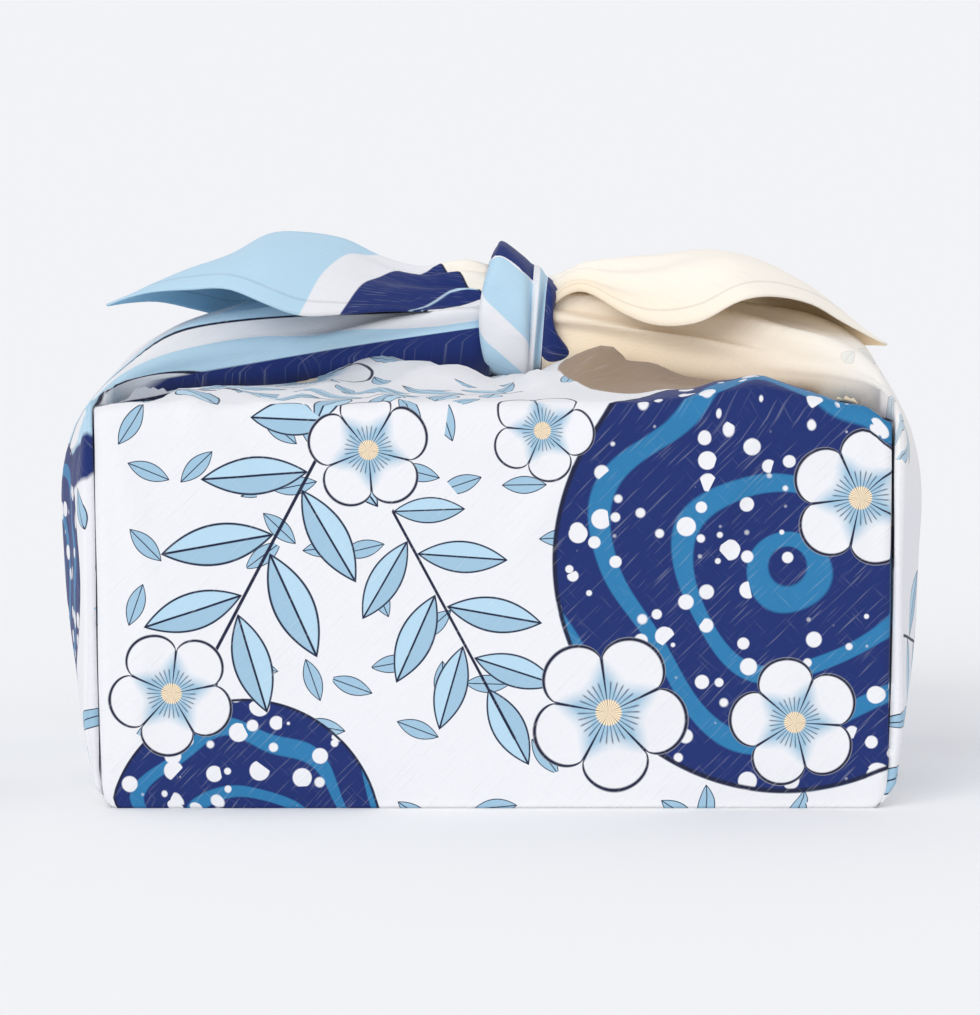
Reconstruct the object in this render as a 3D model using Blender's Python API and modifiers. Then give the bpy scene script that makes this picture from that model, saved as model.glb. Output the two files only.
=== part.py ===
"""A square cotton cloth wrapped round a box and tied on top with a knot, as one solid.

The cloth lies as a diamond: u runs from its left corner to its right one, v from its front corner
to its back one. wrapped_point says where each point of the flat cloth lies once it is folded.
Metres, +Z up. The front faces -Y, and the origin is on the surface under the middle.
"""

import math

import bmesh
import bpy
from mathutils import Vector

# Driving sizes
CLOTH_SIDE = 1.04
CLOTH_THICKNESS = 0.0012
LAYER_PITCH = 0.0018
BODY_LENGTH = 0.328
BODY_DEPTH = 0.264
BODY_HEIGHT = 0.169
EDGE_RADIUS = 0.006
KNOT_REACH = 0.340

HALF_DIAGONAL = CLOTH_SIDE / math.sqrt(2)
HALF_LENGTH = BODY_LENGTH / 2
HALF_DEPTH = BODY_DEPTH / 2

# Gussets tucked inside each end: how deep they hang, and how far out along u they turn and come up
FRONT_TUCK = 0.048
BACK_TUCK = 0.054
TUCK_TURN = 0.100
HEM_GAP = 0.006
FLAP_SLACK = 0.93
FREE_LENGTH = HALF_DIAGONAL - HALF_LENGTH - HALF_DEPTH - BODY_HEIGHT
REAR_SHARE = BODY_DEPTH / FREE_LENGTH
CREST_START = 0.012
CREST_HALF = 0.0012
FIRST_PAST = 0.0015
FOLD_ROOM = 0.012
# Clearance of the gathered cloth round the body's top edge, and further in over the top
EDGE_ROOM = 4.2 * LAYER_PITCH
TOP_ROOM = 2.9 * LAYER_PITCH

# How the length tapers to the foot, how the ends round under there, and how far the middle of each
# end draws in at the top
TOP_TAPER = 0.012
FOOT_RADIUS = 0.006
FOOT_TURN = 0.9
SHOULDER_DRAW = 0.008
SHOULDER_SINK = 0.010
SHOULDER_REACH = 0.045
# The body's top corners sink softly, the right ones more than the left ones
CORNER_REACH = 0.016
CORNER_TALL = 0.034
LEFT_CORNER_SINK = 0.0015
RIGHT_CORNER_SINK = 0.0070

# Soft swellings of the top layers: centre, half widths and height
SWELL_COLUMNS = ("x", "y", "wide", "deep", "high")
SWELLS = (
    (0.040, -0.030, 0.020, 0.045, 0.0100),
    (0.110, -0.115, 0.026, 0.030, 0.0080),
    (0.075, -0.080, 0.030, 0.040, 0.0030),
    (-0.045, -0.020, 0.040, 0.035, 0.0050),
    (-0.105, -0.085, 0.030, 0.030, 0.0030),
    (0.000, 0.060, 0.070, 0.040, 0.0040),
)

# The gathered end from the foot of the end panel to the knot. along is the share of KNOT_REACH;
# the crown columns are its middle line and the rim columns its two folded edges.
STRAND_COLUMNS = ("along", "crown_x", "crown_z", "rim_x", "rim_y", "rim_z")
LEFT_STRAND = (
    (0.00, 0.1640, 0.0006, 0.1640, 0.1320, 0.0006),
    (0.10, 0.1749, 0.0340, 0.1710, 0.1315, 0.0340),
    (0.22, 0.1826, 0.0740, 0.1726, 0.1310, 0.0740),
    (0.31, 0.1839, 0.1040, 0.1731, 0.1305, 0.1040),
    (0.40, 0.1816, 0.1340, 0.1731, 0.1300, 0.1340),
    (0.46, 0.1744, 0.1540, 0.1725, 0.1290, 0.1570),
    (0.50, 0.1650, 0.1660, 0.1690, 0.1230, 0.1690),
    (0.56, 0.1528, 0.1782, 0.1610, 0.1000, 0.1740),
    (0.63, 0.1365, 0.1890, 0.1480, 0.0720, 0.1752),
    (0.70, 0.1146, 0.1963, 0.1282, 0.0500, 0.1758),
    (0.79, 0.0865, 0.2015, 0.0969, 0.0340, 0.1778),
    (0.90, 0.0448, 0.2056, 0.0500, 0.0240, 0.1839),
    (1.00, 0.0021, 0.2088, 0.0021, 0.0170, 0.1900),
)
RIGHT_STRAND = (
    (0.00, 0.1640, 0.0006, 0.1640, 0.1320, 0.0006),
    (0.10, 0.1734, 0.0340, 0.1705, 0.1315, 0.0340),
    (0.22, 0.1795, 0.0740, 0.1720, 0.1310, 0.0740),
    (0.31, 0.1806, 0.1040, 0.1724, 0.1305, 0.1040),
    (0.40, 0.1792, 0.1340, 0.1724, 0.1300, 0.1340),
    (0.46, 0.1734, 0.1540, 0.1720, 0.1290, 0.1570),
    (0.50, 0.1650, 0.1680, 0.1680, 0.1230, 0.1690),
    (0.56, 0.1558, 0.1812, 0.1610, 0.1000, 0.1740),
    (0.63, 0.1386, 0.1911, 0.1490, 0.0740, 0.1752),
    (0.70, 0.1167, 0.1963, 0.1292, 0.0540, 0.1758),
    (0.79, 0.0907, 0.2004, 0.1000, 0.0380, 0.1768),
    (0.90, 0.0584, 0.2036, 0.0625, 0.0270, 0.1809),
    (1.00, 0.0208, 0.2067, 0.0208, 0.0180, 0.1880),
)
# Long pleats that run up the ends and along the gathered cloth
PLEATS = 3.5
PLEAT_HEIGHT = 0.0030

# The free corners. reach is the distance out from the middle along X; the ridge is the fold along
# the middle of the corner, near its front hem and far its back hem.
EAR_COLUMNS = ("reach", "ridge_y", "ridge_z", "near_y", "near_z", "far_y", "far_z")
LEFT_EAR = (
    (0.0010, 0.000, 0.2202, -0.0140, 0.2043, 0.0120, 0.2111),
    (0.0167, 0.001, 0.2203, -0.0170, 0.2042, 0.0160, 0.2102),
    (0.0302, 0.002, 0.2187, -0.0240, 0.2030, 0.0220, 0.2082),
    (0.0500, 0.003, 0.2245, -0.0360, 0.2023, 0.0300, 0.2063),
    (0.0667, 0.004, 0.2323, -0.0470, 0.2020, 0.0380, 0.2049),
    (0.0834, 0.004, 0.2349, -0.0550, 0.2029, 0.0440, 0.2024),
    (0.0990, 0.003, 0.2338, -0.0550, 0.2076, 0.0470, 0.1983),
    (0.1146, 0.002, 0.2255, -0.0470, 0.2124, 0.0440, 0.1956),
    (0.1313, 0.001, 0.2192, -0.0350, 0.2122, 0.0340, 0.1996),
    (0.1469, 0.000, 0.2129, -0.0200, 0.2104, 0.0200, 0.2040),
    (0.1584, 0.000, 0.2072, -0.0100, 0.2075, 0.0100, 0.2043),
    (0.1688, 0.000, 0.2036, -0.0020, 0.2035, 0.0020, 0.2031),
)
RIGHT_EAR = (
    (0.0208, 0.000, 0.2140, -0.0140, 0.2001, 0.0120, 0.2049),
    (0.0302, 0.000, 0.2155, -0.0190, 0.2094, 0.0150, 0.2049),
    (0.0396, 0.001, 0.2203, -0.0240, 0.2109, 0.0200, 0.2050),
    (0.0552, 0.002, 0.2229, -0.0340, 0.2028, 0.0280, 0.2052),
    (0.0709, 0.003, 0.2250, -0.0460, 0.1979, 0.0360, 0.2054),
    (0.0875, 0.004, 0.2276, -0.0560, 0.1998, 0.0430, 0.2029),
    (0.1042, 0.004, 0.2260, -0.0580, 0.2080, 0.0470, 0.1968),
    (0.1198, 0.003, 0.2213, -0.0480, 0.2093, 0.0450, 0.1915),
    (0.1365, 0.002, 0.2109, -0.0340, 0.2060, 0.0360, 0.1866),
    (0.1511, 0.000, 0.2010, -0.0200, 0.1974, 0.0220, 0.1827),
    (0.1626, 0.000, 0.1916, -0.0090, 0.1909, 0.0100, 0.1855),
    (0.1714, 0.000, 0.1864, -0.0020, 0.1863, 0.0020, 0.1859),
)
EAR_SAG = 0.10

# The knot: bands side by side that pass over the gathered cloth, as sections from left to right.
# foot_x, waist_x and top_x are a section's places along X at its foot, half way up and at its top.
KNOT_COLUMNS = ("foot_x", "waist_x", "top_x", "front", "back", "foot", "top")
KNOT = (
    (-0.0005, -0.0035, 0.0020, -0.0110, 0.0110, 0.1860, 0.2150),
    (-0.0026, -0.0060, 0.0005, -0.0200, 0.0188, 0.1775, 0.2255),
    (-0.0012, -0.0047, 0.0018, -0.0250, 0.0230, 0.1742, 0.2292),
    (0.0060, 0.0030, 0.0042, -0.0264, 0.0250, 0.1722, 0.2310),
    (0.0130, 0.0132, 0.0125, -0.0266, 0.0245, 0.1720, 0.2248),
    (0.0146, 0.0154, 0.0165, -0.0222, 0.0225, 0.1730, 0.2212),
    (0.0165, 0.0180, 0.0199, -0.0252, 0.0235, 0.1740, 0.2200),
    (0.0186, 0.0208, 0.0226, -0.0214, 0.0215, 0.1755, 0.2162),
    (0.0260, 0.0240, 0.0250, -0.0256, 0.0225, 0.1758, 0.2145),
    (0.0400, 0.0264, 0.0283, -0.0238, 0.0200, 0.1775, 0.2105),
    (0.0390, 0.0260, 0.0275, -0.0150, 0.0130, 0.1830, 0.2040),
)

CLOTH_COLOUR = (0.62, 0.74, 0.84, 1.0)


def eased(share):
    """0 to 1 with level ends."""
    share = min(max(share, 0.0), 1.0)
    return share * share * (3 - 2 * share)


def mixed(first, second, share):
    return first + (second - first) * share


def read_table(columns, rows, key, at):
    """The row at this value of the key column, by a smooth curve through the table's rows."""
    place = columns.index(key)
    keys = [row[place] for row in rows]
    at = min(max(at, keys[0]), keys[-1])
    index = max(i for i in range(len(keys) - 1) if keys[i] <= at)
    span = keys[index + 1] - keys[index]
    share = (at - keys[index]) / span
    found = {}
    for column, name in enumerate(columns):
        values = [row[column] for row in rows]
        slopes = []
        for i in (index, index + 1):
            low, high = max(i - 1, 0), min(i + 1, len(keys) - 1)
            slopes.append((values[high] - values[low]) / (keys[high] - keys[low]) * span)
        start, end = values[index], values[index + 1]
        found[name] = (
            (2 * share**3 - 3 * share**2 + 1) * start
            + (share**3 - 2 * share**2 + share) * slopes[0]
            + (3 * share**2 - 2 * share**3) * end
            + (share**3 - share**2) * slopes[1]
        )
    return found


def along_corners(corners, radius, distance):
    """The point this far along a line through the corners, with each inner corner rounded."""
    left = distance
    for i in range(len(corners) - 1):
        start, end = Vector(corners[i]), Vector(corners[i + 1])
        length = (end - start).length
        last = i == len(corners) - 2
        if left <= length or last:
            point = start + (end - start) * (left / length)
            to_next, from_last = length - left, left
            if not last and to_next < radius:
                beyond = end + (Vector(corners[i + 2]) - end).normalized() * to_next
                return point.lerp(beyond, 0.5 * (1 - to_next / radius) ** 2)
            if i > 0 and from_last < radius:
                before = start + (Vector(corners[i - 1]) - start).normalized() * from_last
                return point.lerp(before, 0.5 * (1 - from_last / radius) ** 2)
            return point
        left -= length
    return Vector(corners[-1])


def body_section(v):
    """(y, z) of the cloth round the body's middle: the front flap outermost, the back one under it."""
    floor = CLOTH_THICKNESS / 2
    if v < 0:
        corners = (
            (0, floor),
            (-HALF_DEPTH, floor),
            (-HALF_DEPTH, BODY_HEIGHT),
            (HALF_DEPTH + LAYER_PITCH, BODY_HEIGHT),
            (HALF_DEPTH + LAYER_PITCH, floor),
        )
    else:
        corners = (
            (0, floor),
            (HALF_DEPTH, floor),
            (HALF_DEPTH, BODY_HEIGHT - LAYER_PITCH),
            (-HALF_DEPTH + LAYER_PITCH, BODY_HEIGHT - LAYER_PITCH),
            (-HALF_DEPTH + LAYER_PITCH, floor),
        )
    distance = abs(v)
    over = distance - (HALF_DEPTH + BODY_HEIGHT + BODY_DEPTH)
    if over > 0:
        distance -= over * (1 - FLAP_SLACK)
    return along_corners(corners, EDGE_RADIUS, distance)


def swelling(x, y):
    """How far the top layers stand up here."""
    total = 0.0
    for row in SWELLS:
        swell = dict(zip(SWELL_COLUMNS, row))
        across = (x - swell["x"]) / swell["wide"]
        deep = (y - swell["y"]) / swell["deep"]
        total += swell["high"] * math.exp(-across * across - deep * deep)
    return total


def settled(x, y, z):
    """The body's own softness: tapered to the foot and rounded under, sunk and drawn in at its top
    corners and ends, and swollen on top."""
    top = eased((z - 0.6 * BODY_HEIGHT) / (0.4 * BODY_HEIGHT))
    middle = max(0.0, 1 - (y / HALF_DEPTH) ** 2)
    edge = eased(1 - (HALF_LENGTH - min(abs(x), HALF_LENGTH)) / SHOULDER_REACH)
    near_top = eased((z - (BODY_HEIGHT - 0.012)) / 0.010)
    corner = eased(1 - (HALF_LENGTH - min(abs(x), HALF_LENGTH)) / CORNER_REACH) ** 2
    corner *= eased((z - (BODY_HEIGHT - CORNER_TALL)) / CORNER_TALL)
    corner *= LEFT_CORNER_SINK if x < 0 else RIGHT_CORNER_SINK
    level = z + near_top * swelling(x, y) * (1 - edge) - top * middle * edge * SHOULDER_SINK - corner
    under = min(max(1 - z / FOOT_RADIUS, 0), 1) * abs(x) / HALF_LENGTH
    tucked = FOOT_RADIUS * (1 - math.sqrt(1 - FOOT_TURN * under * under))
    drawn = math.copysign(abs(x) - top * middle * edge * SHOULDER_DRAW - tucked, x)
    return Vector((drawn * (1 + TOP_TAPER * (z / BODY_HEIGHT - 0.5)), y, level))


def strand_table(side):
    return LEFT_STRAND if side < 0 else RIGHT_STRAND


def top_room(side, x, y):
    """The lowest height of the gathered cloth over the body's top, at this distance out along X."""
    edge = abs(settled(side * HALF_LENGTH, y, BODY_HEIGHT).x)
    room = mixed(EDGE_ROOM, TOP_ROOM, eased((edge - x) / (2 * FOLD_ROOM)))
    return settled(side * x, y, BODY_HEIGHT).z + room


def kept_clear(side, point):
    """Pushes a point of the gathered cloth out of the body, by less and less towards the foot."""
    corner = settled(side * HALF_LENGTH, point.y, BODY_HEIGHT)
    edge = abs(corner.x)
    x = abs(point.x)
    if x > edge and point.z > corner.z:
        out = Vector((x - edge, point.z - corner.z))
        if out.length < EDGE_ROOM:
            out = out.normalized() * EDGE_ROOM
        return Vector((side * (edge + out.x), point.y, corner.z + out.y))
    if x > edge or point.z < BODY_HEIGHT / 2:
        wall = abs(settled(side * HALF_LENGTH, point.y, point.z).x)
        room = EDGE_ROOM * eased(point.z / FOLD_ROOM)
        return Vector((side * max(x, wall + room), point.y, point.z))
    return Vector((point.x, point.y, max(point.z, top_room(side, x, point.y))))


def panel_point(side, reach, across):
    """A point of the end panel and of the gathered cloth that it becomes. across is -1 at the front
    rim, 0 on the crown and 1 at the back rim."""
    row = read_table(STRAND_COLUMNS, strand_table(side), "along", reach / KNOT_REACH)
    rise = (1 - abs(across) ** 2.4) ** 0.7
    gathered = eased((reach - 0.02) / 0.16)
    pleat = PLEAT_HEIGHT * gathered * math.cos(2 * math.pi * PLEATS * across / 2 + 0.6 * side)
    pleat *= 1 - abs(across) ** 3
    over = eased((reach - 0.13) / 0.06)
    x = mixed(row["rim_x"], row["crown_x"], rise) + pleat * (1 - over)
    z = mixed(row["rim_z"], row["crown_z"], rise) + pleat * over
    point = Vector((side * x, row["rim_y"] * across, z))
    return kept_clear(side, point)


def tuck_depth(reach, deepest):
    """How far below the body's top edge a row of the tucked gusset hangs."""
    if reach < TUCK_TURN:
        return deepest * math.sin(math.pi / 2 * reach / TUCK_TURN)
    share = min((reach - TUCK_TURN) / (BODY_HEIGHT - TUCK_TURN), 1.0)
    return deepest * math.cos(math.pi / 2 * share)


def crest_place(reach):
    """How far past the panel's rim the gusset folds back."""
    return math.hypot(reach, CREST_START)


def inner_tuck(side, front, reach, past):
    """The gusset beside the body: in behind the end panel, back at its crest to the body's upright
    edge, and then along the body's top edge."""
    depth = tuck_depth(reach, FRONT_TUCK if front else BACK_TUCK)
    top = BODY_HEIGHT - (0 if front else LAYER_PITCH)
    crest = crest_place(reach)
    hem_end = mixed(FREE_LENGTH, HALF_DEPTH - HEM_GAP, reach / TUCK_TURN)
    level = 2 if front else 1
    if past < crest:
        inward = depth * past / crest
        height = mixed(reach, crest, past / crest)
        level = 3
    elif past <= BODY_HEIGHT:
        inward = depth
        height = mixed(crest, top - depth, (past - crest) / (BODY_HEIGHT - crest))
    else:
        free = HALF_DIAGONAL - HALF_LENGTH - HALF_DEPTH - reach
        share = (past - BODY_HEIGHT) / (free - BODY_HEIGHT)
        inward = mixed(depth, max(hem_end, depth), share)
        height = top - depth
    grown = eased(min(depth, max(height, 0.0)) / FOLD_ROOM)
    point = settled(side * HALF_LENGTH, -HALF_DEPTH + inward, height)
    point.x += side * level * LAYER_PITCH * grown
    if not front:
        point.y = -point.y
    return point


def outer_tuck(side, front, reach, past):
    """The gusset's outer layer, which comes up behind the end panel and under the gathered cloth."""
    facing = -1 if front else 1
    rim = panel_point(side, reach, facing)
    free = HALF_DIAGONAL - HALF_LENGTH - HALF_DEPTH - reach
    share = min(past / free, 1.0)
    y = mixed(abs(rim.y), HEM_GAP, share)
    lift = reach - BODY_HEIGHT
    if lift < 0:
        hem_lift = -tuck_depth(reach, FRONT_TUCK if front else BACK_TUCK)
        lift = mixed(lift, hem_lift, 1 - (1 - share) ** 3)
        point = settled(side * HALF_LENGTH, -y, BODY_HEIGHT + lift)
        point.x += side * (EDGE_ROOM - LAYER_PITCH)
    else:
        corner = settled(side * HALF_LENGTH, -y, BODY_HEIGHT)
        turn = math.pi / 2 * min(lift / FOLD_ROOM, 1)
        arc = Vector((math.cos(turn), 0, math.sin(turn))) * (EDGE_ROOM - LAYER_PITCH)
        over = panel_point(side, reach, facing * y / abs(rim.y))
        inward = eased((lift - FOLD_ROOM) / (2 * FOLD_ROOM))
        x = mixed(abs(corner.x), min(abs(over.x), abs(corner.x)), inward) + arc.x
        low = top_room(side, x, y) - LAYER_PITCH
        spare = max(over.z - top_room(side, abs(over.x), y), 0)
        held = 0.45 * eased((lift - FOLD_ROOM) / 0.10) * eased(share / 0.4)
        z = corner.z + arc.z if lift < FOLD_ROOM else low
        point = Vector((side * x, 0, z + inward * held * spare))
    point.y = facing * y
    return point


def wrapped_point(u, v):
    """Where the flat cloth's point (u, v) lies in the wrap, out to the knot."""
    side = -1 if u < 0 else 1
    reach = abs(u) - HALF_LENGTH
    past = abs(v) - HALF_DEPTH
    y, z = body_section(v)
    if reach <= 0:
        return settled(u, y, z)
    if past <= 0:
        point = panel_point(side, reach, v / HALF_DEPTH)
    elif reach <= TUCK_TURN:
        point = inner_tuck(side, v < 0, reach, past)
    else:
        point = outer_tuck(side, v < 0, reach, past)
    if reach < FOLD_ROOM:
        point = settled(side * HALF_LENGTH, y, z).lerp(point, eased(reach / FOLD_ROOM))
    return point


def ear_point(side, rows, reach, across):
    """A point of a free corner. across is -1 at the near hem, 0 on the ridge and 1 at the far hem."""
    row = read_table(EAR_COLUMNS, rows, "reach", reach)
    name = "near" if across < 0 else "far"
    share = abs(across)
    y = mixed(row["ridge_y"], row[name + "_y"], share)
    z = mixed(row["ridge_z"], row[name + "_z"], share)
    width = abs(row[name + "_y"] - row["ridge_y"])
    z += EAR_SAG * width * math.sin(math.pi * share)
    return Vector((side * reach, y, z))


def breakpoints(stops, counts):
    """Values from the first stop to the last, each stretch split into its own count."""
    values = [stops[0]]
    for start, end, count in zip(stops, stops[1:], counts):
        values += [mixed(start, end, (i + 1) / count) for i in range(count)]
    return values


def column_places(reach):
    """Distances from the cloth's middle line at which a row has its points, out to the hem."""
    free = HALF_DIAGONAL - HALF_LENGTH - HALF_DEPTH - max(reach, -HALF_LENGTH)
    bend, fold = EDGE_RADIUS, CREST_HALF
    panel = [HALF_DEPTH * share for share in (0, 0.17, 0.34, 0.5, 0.66, 0.82, 0.94, 1)]
    crest = crest_place(max(reach, 0))
    if reach > TUCK_TURN:
        places = breakpoints((FIRST_PAST, 0.08 * free, 0.38 * free, 0.56 * free, free), (1, 2, 4, 8))
    else:
        rear = min(BODY_HEIGHT + BODY_DEPTH, mixed(BODY_HEIGHT, free, REAR_SHARE))
        places = [FIRST_PAST, crest / 2]
        places += breakpoints((crest - fold, crest + fold, BODY_HEIGHT - bend), (1, 3))
        places += breakpoints((BODY_HEIGHT, BODY_HEIGHT + bend, rear - bend / 2, rear, free), (1, 4, 1, 2))
    return panel + [HALF_DEPTH + place for place in places]


def sheet_mesh(name, rows):
    """A sheet through rows of points of equal count, as a mesh."""
    mesh = bpy.data.meshes.new(name)
    form = bmesh.new()
    grid = [[form.verts.new(point) for point in row] for row in rows]
    for low, high in zip(grid, grid[1:]):
        for i in range(len(low) - 1):
            form.faces.new((low[i], low[i + 1], high[i + 1], high[i]))
    bmesh.ops.recalc_face_normals(form, faces=form.faces)
    form.to_mesh(mesh)
    form.free()
    return mesh


def sheet_places():
    """Rows of the flat cloth's points (u, v), from the left end's knot to the right one's."""
    turn = CREST_HALF
    out = breakpoints(
        (0.002, 0.006, 0.030, TUCK_TURN - turn, TUCK_TURN + turn, BODY_HEIGHT - turn, BODY_HEIGHT)
        + (BODY_HEIGHT + FOLD_ROOM, KNOT_REACH),
        (1, 2, 3, 1, 3, 1, 3, 7),
    )
    step = BODY_LENGTH / 10
    flat = breakpoints((-HALF_LENGTH, -HALF_LENGTH + step / 5, HALF_LENGTH - step / 5, HALF_LENGTH), (1, 10, 1))
    places = [-HALF_LENGTH - reach for reach in reversed(out)] + flat
    places += [HALF_LENGTH + reach for reach in out]
    rows = []
    for u in places:
        half = column_places(abs(u) - HALF_LENGTH)
        rows.append([(u, v) for v in [-v for v in reversed(half)] + half[1:]])
    return rows


def ear_rows(side, rows):
    across = breakpoints((-1, 0, 1), (5, 5))
    reaches = breakpoints((rows[0][0], rows[-1][0]), (12,))
    return [[ear_point(side, rows, reach, share) for share in across] for reach in reaches]


def knot_point(section, turn):
    """A point of a section of the knot: turn goes round it from behind, over the top and down."""
    tall = (section["top"] - section["foot"]) / 2
    high = math.sin(turn)
    flat = math.copysign(abs(math.cos(turn)) ** 0.8, math.cos(turn))
    bend = (section["top_x"] + section["foot_x"]) / 2 - section["waist_x"]
    x = section["waist_x"] + high * (section["top_x"] - section["foot_x"]) / 2 + high * high * bend
    y = flat * (section["back"] if flat > 0 else -section["front"])
    return Vector((x, y, section["foot"] + tall * (1 + high)))


def knot_mesh():
    """The knot as a loft through its sections."""
    mesh = bpy.data.meshes.new("knot")
    form = bmesh.new()
    sides = 18
    rings = []
    for row in KNOT:
        section = dict(zip(KNOT_COLUMNS, row))
        turns = [2 * math.pi * step / sides for step in range(sides)]
        rings.append([form.verts.new(knot_point(section, turn)) for turn in turns])
    for low, high in zip(rings, rings[1:]):
        for i in range(sides):
            form.faces.new((low[i], low[i - 1], high[i - 1], high[i]))
    for ring in (rings[0], rings[-1]):
        form.faces.new(ring)
    bmesh.ops.recalc_face_normals(form, faces=form.faces)
    form.to_mesh(mesh)
    form.free()
    return mesh


def clear_scene():
    for obj in list(bpy.data.objects):
        bpy.data.objects.remove(obj, do_unlink=True)


def collection_named(name):
    found = bpy.data.collections.new(name)
    bpy.context.scene.collection.children.link(found)
    return found


def cloth_material():
    material = bpy.data.materials.new("cotton")
    material.use_nodes = True
    shader = material.node_tree.nodes["Principled BSDF"]
    shader.inputs["Base Color"].default_value = CLOTH_COLOUR
    shader.inputs["Roughness"].default_value = 0.85
    shader.inputs["Metallic"].default_value = 0.0
    return material


def add_object(name, mesh, collection):
    obj = bpy.data.objects.new(name, mesh)
    collection.objects.link(obj)
    return obj


def thicken(obj):
    solidify = obj.modifiers.new("cloth thickness", "SOLIDIFY")
    solidify.thickness = CLOTH_THICKNESS
    solidify.offset = 0


def join_on(obj, other):
    """Joins another closed form to this one for good, as cloth pressed into the knot."""
    union = obj.modifiers.new("join " + other.name, "BOOLEAN")
    union.operation = "UNION"
    union.object = other
    other.hide_render = True
    other.display_type = "WIRE"


def build_wrap():
    clear_scene()
    parts = collection_named("furoshiki wrap")
    helpers = collection_named("forms joined to the cloth")
    wrapped = [[wrapped_point(u, v) for u, v in row] for row in sheet_places()]
    wrap = add_object("wrap_cloth", sheet_mesh("wrap_cloth", wrapped), parts)
    wrap.data.materials.append(cloth_material())
    thicken(wrap)
    knot = add_object("knot", knot_mesh(), helpers)
    join_on(wrap, knot)
    for side, rows, name in ((-1, LEFT_EAR, "left ear"), (1, RIGHT_EAR, "right ear")):
        ear = add_object(name, sheet_mesh(name, ear_rows(side, rows)), helpers)
        thicken(ear)
        join_on(wrap, ear)


build_wrap()
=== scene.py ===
import math

import bmesh
import bpy
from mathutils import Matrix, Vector, noise


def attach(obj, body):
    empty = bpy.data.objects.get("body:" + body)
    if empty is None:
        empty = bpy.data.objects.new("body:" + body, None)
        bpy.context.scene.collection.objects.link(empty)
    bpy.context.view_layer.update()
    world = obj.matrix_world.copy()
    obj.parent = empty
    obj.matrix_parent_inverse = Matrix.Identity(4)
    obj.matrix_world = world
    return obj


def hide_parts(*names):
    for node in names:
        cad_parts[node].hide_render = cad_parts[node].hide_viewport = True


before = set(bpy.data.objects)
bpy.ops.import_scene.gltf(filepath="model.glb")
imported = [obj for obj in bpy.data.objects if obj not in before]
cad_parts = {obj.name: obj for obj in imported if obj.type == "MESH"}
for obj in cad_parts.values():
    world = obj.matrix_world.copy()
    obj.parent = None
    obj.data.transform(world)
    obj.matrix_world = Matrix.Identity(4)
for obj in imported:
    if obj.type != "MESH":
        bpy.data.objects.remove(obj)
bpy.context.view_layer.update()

# The place where the wrap stands: a plain pale table top, soft light as from a big window, and a long
# lens square on to the front, a little above the wrap and pitched slightly down. None of it is the wrap's.
scene = bpy.context.scene
scene.view_settings.view_transform = "Standard"

CAMERA_PLACE = Vector((-0.0017, -2.8, 0.354))
CAMERA_PITCH = math.radians(4.88)
WINDOW_PLACE = Vector((-1.2, -2.5, 1.45))
WRAP_MIDDLE = Vector((0.0, 0.0, 0.11))
TABLE_HALF = 60

lens = bpy.data.cameras.new("camera")
lens.sensor_fit = "VERTICAL"
lens.sensor_height = 24
lens.lens = 152.0
lens.clip_end = 200
camera = bpy.data.objects.new("camera", lens)
camera.location = CAMERA_PLACE
camera.rotation_euler = (math.pi / 2 - CAMERA_PITCH, 0, 0)
scene.collection.objects.link(camera)
scene.camera = camera

window = bpy.data.lights.new("window light", "SUN")
window.energy = 1.05
window.angle = math.radians(35)
window.color = (1.0, 0.985, 0.96)
holder = bpy.data.objects.new("window light", window)
holder.location = WINDOW_PLACE
holder.rotation_euler = (WRAP_MIDDLE - WINDOW_PLACE).to_track_quat("-Z", "Y").to_euler()
scene.collection.objects.link(holder)

room = bpy.data.worlds.new("studio")
room.use_nodes = True
room.node_tree.nodes["Background"].inputs["Color"].default_value = (0.95, 0.96, 1.0, 1)
room.node_tree.nodes["Background"].inputs["Strength"].default_value = 0.82
scene.world = room

table_form = bmesh.new()
bmesh.ops.create_grid(table_form, x_segments=1, y_segments=1, size=TABLE_HALF)
table_mesh = bpy.data.meshes.new("table top")
table_form.to_mesh(table_mesh)
table_form.free()
table_top = bpy.data.objects.new("table top", table_mesh)
scene.collection.objects.link(table_top)
pale = bpy.data.materials.new("pale table top")
pale.use_nodes = True
pale.node_tree.nodes["Principled BSDF"].inputs["Base Color"].default_value = (0.97, 0.97, 0.97, 1)
pale.node_tree.nodes["Principled BSDF"].inputs["Roughness"].default_value = 0.9
table_mesh.materials.append(pale)

# The wrapped cloth: one square of printed cotton that lies as a diamond, so that u runs from its left
# corner to its right one and v from the front corner to the back one. It goes round the box form,
# its front and back corners over the top, and its ends are gathered and run up to the knot.
CLOTH_SIDE = 1.04
CLOTH_THICKNESS = 0.0007
LAYER_PITCH = 0.0010
BODY_LENGTH = 0.328
BODY_DEPTH = 0.264
BODY_HEIGHT = 0.169
EDGE_RADIUS = 0.008
KNOT_REACH = 0.340

HALF_DIAGONAL = CLOTH_SIDE / math.sqrt(2)
HALF_LENGTH = BODY_LENGTH / 2
HALF_DEPTH = BODY_DEPTH / 2

# Gussets tucked inside each end: how deep they hang, and how far out along u they turn and come up
FRONT_TUCK = 0.048
BACK_TUCK = 0.054
TUCK_TURN = 0.100
# How near the gussets' hems come to the middle line, and how much of its length a hanging flap keeps
HEM_GAP = 0.006
FLAP_SLACK = 0.93
FREE_LENGTH = HALF_DIAGONAL - HALF_LENGTH - HALF_DEPTH - BODY_HEIGHT
REAR_SHARE = BODY_DEPTH / FREE_LENGTH
# Where the gusset's crest starts, half its width, the first points past the rim, and a fold's growth
CREST_START = 0.012
CREST_HALF = 0.0012
FIRST_PAST = 0.0015
FOLD_ROOM = 0.012
# Clearance of the gathered cloth round the body's top edge, and further in over the top
EDGE_ROOM = 4.2 * LAYER_PITCH
TOP_ROOM = 2.9 * LAYER_PITCH

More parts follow.
